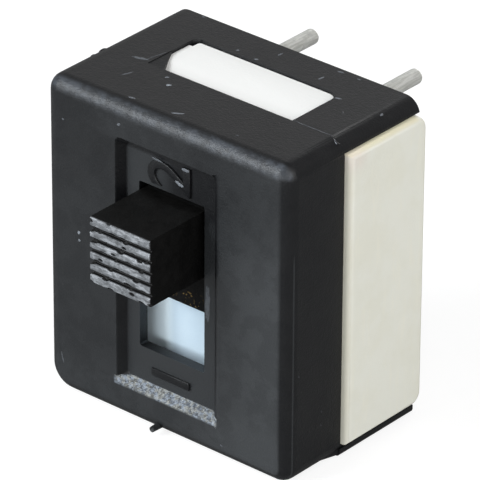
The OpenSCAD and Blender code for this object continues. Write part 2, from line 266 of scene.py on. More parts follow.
# the broken gate stub at the foot of the front
STUB_X, STUB_Z = -0.35, 0.27
bpy.ops.object.select_all(action="DESELECT")
bpy.ops.mesh.primitive_cone_add(vertices=24, radius1=0.15, radius2=0.11, depth=0.9,
                                location=(STUB_X, -4.185, STUB_Z), rotation=(quarter, 0, 0))
stub = bpy.context.object
bake_place()
pick(stub, "FACE", lambda mid, normal: normal.y < -ALONG)
bpy.ops.mesh.inset(thickness=0.03)
bpy.ops.transform.translate(value=(0.01, 0.03, -0.02))
bpy.ops.transform.rotate(value=math.radians(14), orient_axis="X", center_override=(STUB_X, -4.6, STUB_Z))
bpy.ops.object.mode_set(mode="OBJECT")
carve(cover, stub, join=True)

# flash at the mould's parting line: a soft bead on the left edge, a curl on the right
BEAD_RADIUS = 0.1
slope = math.radians(45)
for y, length, lift in ((-1.42, 2.3, 0.05), (-1.95, 1.6, 0.025)):
    bpy.ops.object.select_all(action="DESELECT")
    reach = EDGE_ROUND + lift - BEAD_RADIUS
    spot = (-side + EDGE_ROUND - reach * math.cos(slope), y, top - EDGE_ROUND + reach * math.sin(slope))
    bpy.ops.mesh.primitive_uv_sphere_add(segments=20, ring_count=10, radius=BEAD_RADIUS, location=spot,
                                         scale=(1, length, 1))
    bake_place()
    carve(cover, bpy.context.object, join=True)
bpy.ops.object.select_all(action="DESELECT")
bpy.ops.curve.primitive_nurbs_path_add()
curl = bpy.context.object
CURL_PATH = ((5.02, -1.36, 12.66), (5.15, -1.42, 12.66), (5.3, -1.46, 12.64),
             (5.43, -1.5, 12.57), (5.47, -1.4, 12.53))
for point, spot in zip(curl.data.splines[0].points, CURL_PATH):
    point.co = (*spot, 1)
curl.data.bevel_depth = 0.028
curl.data.bevel_resolution = 2
curl.data.resolution_u = 4
curl.data.use_fill_caps = True
bpy.ops.object.convert(target="MESH")
carve(cover, bpy.context.object, join=True)


def new_material(name):
    """A material with its node tree, its shader and its place in millimetres"""
    material = bpy.data.materials.new(name)
    material.use_nodes = True
    tree = material.node_tree
    place = tree.nodes.new("ShaderNodeTexCoord")
    scaled = tree.nodes.new("ShaderNodeMapping")
    scaled.inputs["Scale"].default_value = (1 / MM, 1 / MM, 1 / MM)
    tree.links.new(place.outputs["Object"], scaled.inputs["Vector"])
    return material, tree, tree.nodes["Principled BSDF"], scaled.outputs["Vector"]


def plug(tree, value, socket):
    """Links a socket, or sets a plain value"""
    if isinstance(value, bpy.types.NodeSocket):
        tree.links.new(value, socket)
    else:
        socket.default_value = value


def work(tree, operation, *values):
    """One math step on numbers"""
    step = tree.nodes.new("ShaderNodeMath")
    step.operation = operation
    for value, socket in zip(values, step.inputs):
        plug(tree, value, socket)
    return step.outputs[0]


def times(tree, first, *others):
    """The product of two or more numbers or masks"""
    for other in others:
        first = work(tree, "MULTIPLY", first, other)
    return first


def add(tree, first, second):
    """The sum of two numbers or masks"""
    return work(tree, "ADD", first, second)


def spread(tree, value, low, high, to_low=0.0, to_high=1.0):
    """Brings the values between low and high to a new span, softly"""
    step = tree.nodes.new("ShaderNodeMapRange")
    step.interpolation_type = "SMOOTHSTEP"
    for given, socket in zip((value, low, high, to_low, to_high), step.inputs):
        plug(tree, given, socket)
    return step.outputs[0]


def blend_colour(tree, share, first, second):
    """Goes from the first colour to the second as the share goes from 0 to 1"""
    step = tree.nodes.new("ShaderNodeMix")
    step.data_type = "RGBA"
    plug(tree, share, step.inputs[0])
    for colour, socket in ((first, step.inputs[6]), (second, step.inputs[7])):
        plug(tree, (*colour, 1) if isinstance(colour, tuple) else colour, socket)
    return step.outputs[2]


def noise(tree, vector, scale, detail=3.0, roughness=0.6):
    """A cloudy pattern between 0 and 1, with about this many clouds per millimetre"""
    step = tree.nodes.new("ShaderNodeTexNoise")
    tree.links.new(vector, step.inputs["Vector"])
    for given, title in ((scale, "Scale"), (detail, "Detail"), (roughness, "Roughness")):
        plug(tree, given, step.inputs[title])
    return step.outputs["Fac"]


def stretched(tree, vector, scale):
    """The place with each axis scaled: a pattern on it is long where the scale is small"""
    step = tree.nodes.new("ShaderNodeMapping")
    step.inputs["Scale"].default_value = scale
    tree.links.new(vector, step.inputs["Vector"])
    return step.outputs["Vector"]


def bump(tree, shader, height, distance):
    """Raises the surface by a height between 0 and 1 times a distance in metres"""
    step = tree.nodes.new("ShaderNodeBump")
    step.inputs["Distance"].default_value = distance
    tree.links.new(height, step.inputs["Height"])
    tree.links.new(step.outputs["Normal"], shader.inputs["Normal"])


def split(tree, place):
    """The place's three coordinates"""
    step = tree.nodes.new("ShaderNodeSeparateXYZ")
    tree.links.new(place, step.inputs["Vector"])
    return step.outputs


def open_group(name, inputs, outputs):
    """An empty shader node group with named inputs and outputs"""
    group = bpy.data.node_groups.new(name, "ShaderNodeTree")
    for title, value in inputs.items():
        kind = "NodeSocketFloat" if isinstance(value, float) else "NodeSocketVector"
        socket = group.interface.new_socket(title, in_out="INPUT", socket_type=kind)
        socket.default_value = value
    for title in outputs:
        group.interface.new_socket(title, in_out="OUTPUT", socket_type="NodeSocketFloat")
    return group, group.nodes.new("NodeGroupInput").outputs, group.nodes.new("NodeGroupOutput").inputs


def place_group(tree, group, **values):
    """Puts a node group into a material and returns its outputs"""
    step = tree.nodes.new("ShaderNodeGroup")
    step.node_tree = group
    for title, value in values.items():
        plug(tree, value, step.inputs[title.replace("_", " ")])
    return step.outputs


# the skin that a spark-eroded mould gives: fine grain, and wide faint clouds
mould_skin, given, result = open_group(
    "mould_skin", {"Vector": (0, 0, 0), "Grain per mm": 14.0, "Clouds per mm": 1.2}, ["Grain", "Clouds"])
fine = noise(mould_skin, given["Vector"], given["Grain per mm"], 2.5, 0.65)
coarse = noise(mould_skin, given["Vector"], times(mould_skin, given["Grain per mm"], 0.35), 2.0)
grain = add(mould_skin, times(mould_skin, fine, 0.6), times(mould_skin, coarse, 0.4))
mould_skin.links.new(grain, result["Grain"])
clouds = noise(mould_skin, given["Vector"], given["Clouds per mm"], 3.0)
mould_skin.links.new(spread(mould_skin, clouds, 0.35, 0.65), result["Clouds"])

# scuffs: short broken patches where a surface has been rubbed. The larger the
# share, the lower the level above which a patch shows.
scuffing, given, result = open_group(
    "scuffing", {"Vector": (0, 0, 0), "Patches per mm": 3.0, "Share": 0.5}, ["Mask"])
patches = noise(scuffing, given["Vector"], given["Patches per mm"], 4.0, 0.7)
level = work(scuffing, "SUBTRACT", 0.78, times(scuffing, given["Share"], 0.45))
full_level = add(scuffing, level, 0.14)
scuffing.links.new(spread(scuffing, patches, level, full_level), result["Mask"])

black_moulding, tree, skin, place = new_material("black_moulding")
skin_mask = place_group(tree, mould_skin, Vector=place)
x, y, z = split(tree, place)
DEEP_BLACK = (0.0032, 0.0034, 0.0043)
SOFT_BLACK = (0.005, 0.0052, 0.006)
FRONT_DUST_AND_SHEEN = (0.0358, 0.0381, 0.0406)
FLOOR_DUST_AND_SHEEN = (0.0228, 0.0244, 0.0262)
RUBBED_EDGE_AND_HIGHLIGHT = (0.065, 0.073, 0.087)
COLD_DUST = (0.25, 0.282, 0.33)
WARM_DUST = (0.315, 0.321, 0.31)
body_colour = blend_colour(tree, skin_mask["Clouds"], DEEP_BLACK, SOFT_BLACK)
# a pale film on the front, partly dust and partly painted sheen, thicker towards
# its right edge and its foot, with a smudge of painted sheen above the sunk field
on_front = spread(tree, y, front + 0.065, front + 0.005)
dust_and_sheen = times(tree, on_front, spread(tree, x, 0.5, 5.2, 0.38, 1.0), spread(tree, z, 10.5, 7.5, 0.55, 1.0),
             spread(tree, z, 2.6, 0.9, 1.0, 1.5))
sheen_over_field = times(tree, spread(tree, x, -4.2, -2.2), spread(tree, x, 2.6, -0.4),
                   spread(tree, z, 11.0, 11.5, 0.0, 0.22))
dust_and_sheen = add(tree, dust_and_sheen, times(tree, sheen_over_field, on_front))
dust_and_sheen = times(tree, dust_and_sheen, spread(tree, skin_mask["Clouds"], 0.2, 0.8, 0.8, 1.0))
body_colour = blend_colour(tree, dust_and_sheen, body_colour, FRONT_DUST_AND_SHEEN)
# a thinner one, also partly dust and partly painted sheen, on the floor of the sunk field, except near its
# upper right; it stops under the field's upper wall, which leaves a painted shadow there
upper_right_bare = times(tree, spread(tree, z, 8.6, 9.6), spread(tree, x, -1.0, 0.6))
floor_dust_and_sheen = times(tree, spread(tree, y, pocket_floor - 0.055, pocket_floor - 0.015),
                   spread(tree, y, pocket_floor + 0.035, pocket_floor + 0.005),
                   spread(tree, z, 10.98, 10.8), spread(tree, upper_right_bare, 0, 1, 1.0, 0.0))
body_colour = blend_colour(tree, floor_dust_and_sheen, body_colour, FLOOR_DUST_AND_SHEEN)
# the rounded upper edge is rubbed in short pale streaks that are also a painted highlight, most at its right
# end, where they stand for a glint
on_round = times(tree, spread(tree, y, front + 0.455, front + 0.255),
                 spread(tree, z, top - 0.58, top - 0.3))
streaks = noise(tree, stretched(tree, place, (0.7, 1, 1)), 3.0, 2.0)
glint_at_right_end = times(tree, spread(tree, x, 4.75, 5.15), spread(tree, x, 5.6, 5.45))
rubbed = times(tree, spread(tree, streaks, 0.4, 0.65, 0.35, 1.0), on_round,
               spread(tree, glint_at_right_end, 0, 1, 0.55, 1.0))
body_colour = blend_colour(tree, rubbed, body_colour, RUBBED_EDGE_AND_HIGHLIGHT)
# the lower wall of the sunk field is coarse and dusty
dusty = times(tree, spread(tree, z, 1.66, 1.6), spread(tree, z, 1.28, 1.34),
              spread(tree, work(tree, "ABSOLUTE", x), 2.45, 2.35),
              spread(tree, y, pocket_floor + 0.055, pocket_floor + 0.015),
              spread(tree, y, front - 0.01, front + 0.01))
dust = times(tree, dusty, spread(tree, noise(tree, place, 7.5, 3.0, 0.75), 0.36, 0.62, 0.25, 1.0))
dust_tint = spread(tree, noise(tree, place, 5.0, 2.0), 0.42, 0.58)
dust_colour = blend_colour(tree, dust_tint, COLD_DUST, WARM_DUST)
body_colour = blend_colour(tree, dust, body_colour, dust_colour)
tree.links.new(body_colour, skin.inputs["Base Color"])
gloss = add(tree, spread(tree, skin_mask["Grain"], 0.3, 0.7, 0.37, 0.44), times(tree, dusty, 0.2))
tree.links.new(gloss, skin.inputs["Roughness"])
skin.inputs["Specular IOR Level"].default_value = 0.34
relief = times(tree, skin_mask["Grain"], spread(tree, dusty, 0.0, 1.0, 1.0, 3.4))
relief = add(tree, relief, times(tree, on_round, noise(tree, place, 4.5, 2.0)))
bump(tree, skin, relief, 0.000017)
finish_piece(cover, "housing", "black_housing", black_moulding, "cover")

# Flecks: shavings, dust and thin flash that lie pressed on the cover's faces,
# rubbed pale, and pale spots on the numerals that are painted glints. Each is a flat
# sliver between two points, with its own shade, and stands a hundredth of a millimetre proud.
FLECK_RISE = 0.01
RAGGED = 0.16
PALE_DUST_AND_GLINT = (0.28, 0.302, 0.335)
HARDLY_PALE = (0.012, 0.012, 0.014)
numeral_face = pocket_floor - 0.1
# the way it faces, its two ends, its half width, and how pale it is; on the
# round right edge of the top, z is worked out from x
FLECKS_AND_GLINTS = (
    ("z", (-3.45, -2.64, top), (-3.31, -2.26, top), 0.04, 0.3),
    ("z", (-1.71, -2.17, top), (-1.66, -2.13, top), 0.065, 1.0),
    ("z", (-2.15, -1.77, top), (-2.1, -1.72, top), 0.045, 0.6),
    ("z", (-2.12, -3.74, top), (-1.92, -3.7, top), 0.045, 0.5),
    ("z", (-0.2, -3.66, top), (0.12, -3.47, top), 0.04, 0.6),
    ("z", (-4.3, 2.68, top), (-4.24, 2.7, top), 0.035, 0.4),
    ("z", (-1.65, 1.47, top), (-1.6, 1.49, top), 0.045, 0.5),
    ("z", (-0.7, 1.37, top), (-0.62, 1.39, top), 0.045, 0.6),
    ("z", (-0.28, 2.15, top), (-0.27, 2.32, top), 0.04, 0.45),
    ("z", (1.99, 1.68, top), (2.01, 1.88, top), 0.045, 0.5),
    ("z", (2.13, 2.56, top), (2.32, 2.59, top), 0.035, 0.5),
    ("z", (3.02, 2.56, top), (3.12, 2.57, top), 0.035, 0.4),
    ("z", (2.58, -3.47, top), (2.61, -3.45, top), 0.03, 0.3),
    ("z", (-4.05, -1.32, top), (-3.57, -1.18, top), 0.07, 0.35),
    ("z", (-3.6, -1.2, top), (-3.42, -0.3, top), 0.03, 0.2),
    ("z", (3.35, -1.34, top), (5.03, -1.32, top), 0.018, 0.25),
    ("z", (3.36, 0.95, top), (3.52, 1.0, top), 0.04, 0.5),
    ("z", (4.2, 0.3, top), (4.28, 0.2, top), 0.02, 0.2),
    ("edge", (5.29, 1.13, 0), (5.31, 1.04, 0), 0.04, 0.5),
    ("edge", (5.29, -1.44, 0), (5.41, -1.5, 0), 0.03, 0.85),
    ("y", (-4.76, front, 11.15), (-4.72, front, 11.15), 0.035, 0.25),
    ("y", (-2.13, front, 11.83), (-2.08, front, 11.87), 0.045, 0.45),
    ("y", (-4.05, front, 6.83), (-4.03, front, 6.86), 0.058, 0.75),
    ("y", (-4.03, front, 6.53), (-4.01, front, 6.54), 0.048, 0.55),
    ("y", (-4.96, front, 1.63), (-4.86, front, 1.22), 0.025, 0.25),
    ("y", (2.64, front, 0.66), (2.7, front, 0.64), 0.03, 0.25),
    ("x", (side, -3.7, 4.36), (side, -3.66, 4.3), 0.03, 0.1),
    ("x", (side, -2.42, 2.35), (side, -2.4, 2.35), 0.03, 0.1),
    ("x", (side, -2.45, 1.8), (side, -2.42, 1.8), 0.03, 0.1),
    # painted glints: these three pale spots on the numeral 2 stand for highlights on its raised strokes
    ("y", (0.62, numeral_face, 10.9), (0.83, numeral_face, 10.9), 0.06, 0.6),
    ("y", (0.3, numeral_face, 10.3), (0.55, numeral_face, 10.22), 0.065, 0.55),
    ("y", (-0.8, numeral_face, 10.87), (-0.4, numeral_face, 10.84), 0.04, 0.3),
    ("y", (1.67, pocket_floor, 6.5), (1.65, pocket_floor, 5.3), 0.11, 0.28),
)
NORMALS = {"x": Vector((1, 0, 0)), "y": Vector((0, -1, 0)), "z": Vector((0, 0, 1))}
slivers = []
for facing, start, end, width, shade in FLECKS_AND_GLINTS:
    start, end = Vector(start), Vector(end)
    normal = NORMALS.get(facing)
    if facing == "edge":
        turns = [math.acos(min(1, (point.x - side + EDGE_ROUND) / EDGE_ROUND)) for point in (start, end)]
        for point, turn in zip((start, end), turns):
            point.z = top - EDGE_ROUND + EDGE_ROUND * math.sin(turn)
        half_way = sum(turns) / 2
        normal = Vector((math.cos(half_way), 0, math.sin(half_way)))
    length = (end - start).length
    lengthwise = (end - start).normalized()
    lengthwise = (lengthwise - normal * lengthwise.dot(normal)).normalized()
    crosswise = normal.cross(lengthwise)
    bpy.ops.object.select_all(action="DESELECT")
    bpy.ops.mesh.primitive_ico_sphere_add(subdivisions=3, radius=1)
    sliver = bpy.context.object
    basis = Matrix((lengthwise, crosswise, normal)).transposed().to_4x4()
    size = Matrix.Diagonal((length / 2 + width, width, FLECK_RISE, 1))
    own_shape = 40 * width + length * 11
    for vertex in sliver.data.vertices:
        vertex.co *= 1 + RAGGED * math.sin(7.3 * vertex.co.x + 5.1 * vertex.co.y + own_shape)
    sliver.data.transform(Matrix.Translation((start + end) / 2) @ basis @ size)
    paleness_and_glint = sliver.data.attributes.new("paleness_and_glint", "FLOAT", "FACE")
    paleness_and_glint.data.foreach_set("value", [shade] * len(sliver.data.polygons))
    slivers.append(sliver)
bpy.ops.object.select_all(action="DESELECT")
for sliver in slivers:
    sliver.select_set(True)
flecks_and_glints = slivers[0]
bpy.context.view_layer.objects.active = flecks_and_glints
bpy.ops.object.join()
flecks_and_glints.name = "cover_flecks_and_glints"
pale_fleck_and_glint, tree, skin, place = new_material("pale_fleck_and_glint")
paleness_and_glint = tree.nodes.new("ShaderNodeAttribute")
paleness_and_glint.attribute_name = "paleness_and_glint"
broken = noise(tree, place, 12.0, 2.0)
depth = times(tree, paleness_and_glint.outputs["Fac"], spread(tree, broken, 0.25, 0.6, 0.45, 1.0))
tree.links.new(blend_colour(tree, depth, HARDLY_PALE, PALE_DUST_AND_GLINT), skin.inputs["Base Color"])
tree.links.new(spread(tree, broken, 0.2, 0.8, 0.45, 0.6), skin.inputs["Roughness"])
skin.inputs["Specular IOR Level"].default_value = 0.35
finish_piece(flecks_and_glints, "housing", "black_housing", pale_fleck_and_glint)

# Base: a cream moulding that fills the cover from behind and shows as a pad on
# each side. Two long latches snap into the cover's windows. Its front has a
# well for each rocking contact, its back a sunk field that takes the resin.
PAD_FRONT = -1.305
BASE_LOW = 0.53
WELL_MIDDLE = 2.83
WELL_HALF = 0.77
WELL_FLOOR = 0.835
PIN_COLUMN = 2.415
ROW_PITCH = 4.7
BORE_RADIUS = 0.51
base_low, base_high = node_box("base")
base_front = base_low.y
base_back = base_high.y
pad_x = base_high.x
base_top = cover_high.z - BASE_LOW
base_x = side - SIDE_WALL - 0.03
base = block("base_moulding", (-base_x, base_front, BASE_LOW), (base_x, -0.335, base_top))
pads = block("pads", (-pad_x, PAD_FRONT, BASE_LOW), (pad_x, base_back, base_top))
round_edges(pads, lambda mid, way: abs(way.x) > ALONG and mid.y > 0, 0.5, 6)
round_edges(pads, lambda mid, way: abs(mid.x) > pad_x - NEAR and abs(way.x) < 0.1, 0.22, 5)
carve(base, pads, join=True)
rows = [middle + row * ROW_PITCH for row in (-1, 0, 1)]
columns = (-PIN_COLUMN, PIN_COLUMN)


def rod(name, radius, x, z, start, end, vertices=32):
    """A round bar along Y"""
    bpy.ops.object.select_all(action="DESELECT")
    bpy.ops.mesh.primitive_cylinder_add(vertices=vertices, radius=radius, depth=end - start,
                                        location=(x, (start + end) / 2, z), rotation=(quarter, 0, 0))
    piece = bpy.context.object
    piece.name = name
    bake_place()
    return piece


for sign, column in zip((-1, 1), columns):
    carve(base, block("well", (sign * WELL_MIDDLE - WELL_HALF, base_front - 1, 1.05),
                      (sign * WELL_MIDDLE + WELL_HALF, WELL_FLOOR, 11.65)))
    for row in rows:
        carve(base, rod("bore", BORE_RADIUS, column, row, WELL_FLOOR - 0.1, BEYOND))
carve(base, block("resin_field", (-3.415, 2.385, 0.95), (3.415, BEYOND, 11.75)))
soften(base, 0.035)

# the latches, each with a lead-in slope in front and cut corners at its left
LATCH_RISE = 0.4
LEAD_IN = 0.2
RAMP_END = -0.505
LATCH_BACK = 1.235
for sign, root in ((-1, BASE_LOW), (1, base_top)):
    crest = root + sign * LATCH_RISE
    low_z, high_z = sorted((root - sign * 0.1, crest))
    latch = block("latch", (-3.36, PAD_FRONT, low_z), (3.25, RAMP_END, high_z))
    pick(latch, "FACE", lambda mid, normal: normal.y > ALONG)
    bpy.ops.mesh.extrude_region_move(TRANSFORM_OT_translate={"value": (0, LATCH_BACK - RAMP_END, 0)})
    bpy.ops.object.mode_set(mode="OBJECT")
    shift(latch, "EDGE", lambda mid, way: mid.y < PAD_FRONT + 0.005 and abs(way.x) > ALONG
          and abs(mid.z - crest) < NEAR, (0, 0, -LEAD_IN * sign))
    corner = turned_block("corner", (-3, -3, -1), (0, 3, 14), 26.6, (-3.28, -0.31, 0))
    step = block("step", (-4, 0.86, -1), (-3.2, 2, 14))
    nick = block("nick", (3.2, 0.28, crest - 0.12), (3.4, 0.42, crest + 0.12))
    carve(latch, corner, step, nick)
    round_edges(latch, lambda mid, way: abs(way.z) > ALONG and mid.y > 1.2 and mid.x < 0, 0.14, 3)
    round_edges(latch, lambda mid, way: abs(way.z) > ALONG and mid.y > 1.2 and mid.x > 0, 0.42, 5)
    soften(latch)
    carve(base, latch, join=True)

cream_moulding, tree, skin, place = new_material("cream_moulding")
skin_mask = place_group(tree, mould_skin, Vector=place, Grain_per_mm=9.0, Clouds_per_mm=0.55)
x, y, z = split(tree, place)
CREAM = (0.84, 0.83, 0.725)
LIGHT_CREAM = (0.865, 0.86, 0.77)
FLOW_LINE = (0.89, 0.87, 0.75)
EDGE_BROWN = (0.42, 0.36, 0.25)
YELLOWED = (0.78, 0.7, 0.43)
BLUSH = (0.8, 0.68, 0.62)
PAINTED_COLD_LIGHT_WHITE = (0.5, 0.614, 0.71)
LIGHTER_PAINTED_COLD_LIGHT_WHITE = (0.536, 0.643, 0.73)
PAINTED_LIGHT_LEFT_WHITE = (0.8, 0.926, 1.0)
PAINTED_WARM_LIGHT_WHITE = (0.8, 0.78, 0.6)
PAINTED_LIGHT_LATCH_WHITE = (0.91, 0.9, 0.88)
SPECK = (0.4, 0.37, 0.3)
cream = blend_colour(tree, skin_mask["Clouds"], CREAM, LIGHT_CREAM)
# flow lines of the moulding run up the pad from its gate
flow = noise(tree, stretched(tree, place, (1, 2.2, 0.35)), 1.6, 3.0)
cream = blend_colour(tree, spread(tree, flow, 0.52, 0.72, 0.0, 0.45), cream, FLOW_LINE)
# the edge behind the cover's side wall is browner, and the top ledge is yellowed
by_side_wall = spread(tree, y, -1.12, PAD_FRONT + 0.005)
cream = blend_colour(tree, times(tree, by_side_wall, 0.35), cream, EDGE_BROWN)
ledge = times(tree, spread(tree, z, 12.02, 12.16), spread(tree, y, 2.6, 2.3))
cream = blend_colour(tree, times(tree, ledge, 0.6), cream, YELLOWED)
blush = times(tree, spread(tree, z, 11.2, 11.9), spread(tree, y, -0.2, -0.9))
cream = blend_colour(tree, times(tree, blush, 0.35), cream, BLUSH)
# the face behind the slot is whiter, and cold beside the warm pads: the cold tint is painted light, standing
# for cold light falling on it; its left is painted brighter, as painted light where the slot's wall and the
# knob shade it, and a painted warm light runs along its top edge
inner_face = spread(tree, y, -2.2, -2.8)
painted_light_white = blend_colour(tree, skin_mask["Clouds"], PAINTED_COLD_LIGHT_WHITE, LIGHTER_PAINTED_COLD_LIGHT_WHITE)
painted_light_white = blend_colour(tree, spread(tree, x, -0.7, -1.2), painted_light_white, PAINTED_LIGHT_LEFT_WHITE)
painted_light_white = blend_colour(tree, spread(tree, z, 4.7, 5.15, 0.0, 0.8), painted_light_white, PAINTED_WARM_LIGHT_WHITE)
cream = blend_colour(tree, inner_face, cream, painted_light_white)
# the latches are painted whiter, painted light that stands for the strong light on the top latch, and fine
# specks lie all over
on_latches = spread(tree, work(tree, "ABSOLUTE", work(tree, "SUBTRACT", z, middle)), 5.84, 5.95)
cream = blend_colour(tree, on_latches, cream, PAINTED_LIGHT_LATCH_WHITE)
specks = place_group(tree, scuffing, Vector=place, Patches_per_mm=7.0, Share=0.12)["Mask"]
cream = blend_colour(tree, times(tree, specks, 0.3), cream, SPECK)
tree.links.new(cream, skin.inputs["Base Color"])
tree.links.new(spread(tree, skin_mask["Grain"], 0.3, 0.7, 0.42, 0.55), skin.inputs["Roughness"])
skin.inputs["Specular IOR Level"].default_value = 0.35
bump(tree, skin, skin_mask["Grain"], 0.000012)
finish_piece(base, "housing", "cream_base", cream_moulding, "base")

# Seal: dark resin poured into the sunk field round the six shanks. It wets the
# shanks and the walls, so its level face climbs a little at each of them.
RESIN_FRONT = 2.395
RESIN_FACE = 2.785
HOLE_RADIUS = 0.515
SHANK_CLIMB = 0.085
WALL_CLIMB = 0.05
MOST_CLIMB = 0.09
UNEVEN = 0.008
DARK_RESIN = (0.012, 0.014, 0.014)
PALER_RESIN = (0.03, 0.032, 0.03)
SETTLED_DUST = (0.2, 0.19, 0.17)
resin_x = 3.405
resin_low, resin_high = 0.96, 11.74
seal = block("seal_resin_pour", (-resin_x, RESIN_FRONT, resin_low), (resin_x, RESIN_FACE, resin_high))
pick(seal, "FACE", lambda mid, normal: normal.y > ALONG)
bpy.ops.mesh.subdivide(number_cuts=60)
bpy.ops.object.mode_set(mode="OBJECT")
shanks = [(column, row) for column in columns for row in rows]
for column, row in shanks:
    carve(seal, rod("shank_hole", HOLE_RADIUS, column, row, 2, 3.5, 40))
for vertex in seal.data.vertices:
    spot = vertex.co
    if spot.y < RESIN_FACE - NEAR:
        continue
    to_shank = min(math.hypot(spot.x - column, spot.z - row) for column, row in shanks)
    to_wall = min(resin_x - abs(spot.x), spot.z - resin_low, resin_high - spot.z)
    climb = SHANK_CLIMB * math.exp((HOLE_RADIUS - to_shank) / 0.11) + WALL_CLIMB * math.exp(-to_wall / 0.12)
    spot.y += min(climb, MOST_CLIMB) + UNEVEN * math.sin(1.7 * spot.x + 0.6) * math.sin(1.1 * spot.z)
seal_resin, tree, skin, place = new_material("seal_resin")
clouds = noise(tree, place, 0.8, 4.0)
resin = blend_colour(tree, spread(tree, clouds, 0.35, 0.7), DARK_RESIN, PALER_RESIN)
settled = place_group(tree, scuffing, Vector=place, Patches_per_mm=5.0, Share=0.25)["Mask"]
resin = blend_colour(tree, times(tree, settled, 0.25), resin, SETTLED_DUST)
tree.links.new(resin, skin.inputs["Base Color"])
tree.links.new(spread(tree, clouds, 0.3, 0.7, 0.12, 0.26), skin.inputs["Roughness"])
bump(tree, skin, noise(tree, place, 2.2, 2.0), 0.00002)
finish_piece(seal, "housing", "seal_resin", seal_resin, "terminal_seal")

# Terminals: six brass pins with a dull tin plating. Each has a thick shank held
# in the base, a drawn round pin with a rolled end, and a flat head in its well;
# the head of the middle one has the groove that the rocker turns in.
PIN_TIP = node_box("upper_terminal_right")[1].y
SHANK_RADIUS = 0.5
PIN_INSET = 0.2
HEAD_HALF = 0.62
GROOVE_RADIUS = 0.39
DARK_TIN = (0.62, 0.62, 0.58)
BRIGHT_TIN = (0.86, 0.86, 0.82)
DULL_TIN = (0.42, 0.42, 0.41)
RUBBED_TIN = (0.85, 0.85, 0.83)
tinned_terminal, tree, skin, place = new_material("tinned_terminal")
drawn = noise(tree, stretched(tree, place, (9, 0.8, 9)), 1.4, 4.0, 0.7)
dull = noise(tree, place, 2.6, 3.0)
tin = blend_colour(tree, spread(tree, drawn, 0.35, 0.68), DARK_TIN, BRIGHT_TIN)
tin = blend_colour(tree, spread(tree, dull, 0.5, 0.75, 0.0, 0.5), tin, DULL_TIN)
rubbed = place_group(tree, scuffing, Vector=place, Patches_per_mm=6.0, Share=0.3)["Mask"]
tin = blend_colour(tree, times(tree, rubbed, 0.4), tin, RUBBED_TIN)
tree.links.new(tin, skin.inputs["Base Color"])
skin.inputs["Metallic"].default_value = 0.6
tree.links.new(spread(tree, dull, 0.3, 0.7, 0.38, 0.55), skin.inputs["Roughness"])
bump(tree, skin, add(tree, times(tree, drawn, 0.6), times(tree, rubbed, 0.5)), 0.000018)


def terminal_pin(name, z):
    """The shank with the pin that stands out of it, on the right-hand column"""
    pin = rod(name, SHANK_RADIUS, PIN_COLUMN, z, WELL_FLOOR - 0.01, base_back, 40)
    pick(pin, "FACE", lambda mid, normal: normal.y > ALONG)
    bpy.ops.mesh.inset(thickness=PIN_INSET)
    bpy.ops.mesh.extrude_region_move(TRANSFORM_OT_translate={"value": (0, PIN_TIP - base_back, 0)})
    bpy.ops.object.mode_set(mode="OBJECT")
    round_edges(pin, lambda mid, way: abs(mid.y - PIN_TIP) < NEAR, 0.15, 5)
    round_edges(pin, lambda mid, way: abs(mid.y - base_back) < NEAR
                and math.hypot(mid.x - PIN_COLUMN, mid.z - z) > SHANK_RADIUS - 0.05, 0.04, 2)
    return pin


def turned_over(piece, name, flip_x, flip_z):
    """A mirrored copy with its own mesh, its faces outwards"""
    copy = piece.copy()
    copy.data = piece.data.copy()
    bpy.context.scene.collection.objects.link(copy)
    copy.name = name
    take(copy)
    bpy.ops.object.mode_set(mode="EDIT")
    bpy.ops.mesh.select_all(action="SELECT")
    bpy.ops.transform.resize(value=(-1 if flip_x else 1, 1, -1 if flip_z else 1),
                             center_override=(0, 0, middle))
    bpy.ops.mesh.normals_make_consistent(inside=False)
    bpy.ops.object.mode_set(mode="OBJECT")
    return copy


def head_block(name, front_y, low_z, high_z):
    """A flat head in the right-hand well"""
    return block(name, (WELL_MIDDLE - HEAD_HALF, front_y, low_z),
                 (WELL_MIDDLE + HEAD_HALF, WELL_FLOOR, high_z))


outer = terminal_pin("upper_pin_right", rows[2])
head_end = rows[2] + 0.55
head = head_block("head", WELL_FLOOR - 0.25, head_end - 1.9, head_end)
round_edges(head, lambda mid, way: abs(way.y) > ALONG, 0.15, 4)
soften(head)
carve(outer, head, join=True)
common = terminal_pin("common_pin_right", middle)
cradle = head_block("cradle", 0.335, middle - 0.9, middle + 0.9)
bpy.ops.object.select_all(action="DESELECT")
bpy.ops.mesh.primitive_cylinder_add(vertices=48, radius=GROOVE_RADIUS, depth=3,
                                    location=(WELL_MIDDLE, 0.18, middle), rotation=(0, quarter, 0))
bake_place()
carve(cradle, bpy.context.object)
soften(cradle)
carve(common, cradle, join=True)
terminals = {
    "upper_terminal_right": outer,
    "upper_terminal_left": turned_over(outer, "upper_pin_left", True, False),
    "lower_terminal_right": turned_over(outer, "lower_pin_right", False, True),
    "lower_terminal_left": turned_over(outer, "lower_pin_left", True, True),
    "common_terminal_right": common,
    "common_terminal_left": turned_over(common, "common_pin_left", True, False),
}
for node_name, piece in terminals.items():
    finish_piece(piece, "housing", "tinned_terminal", tinned_terminal, node_name)

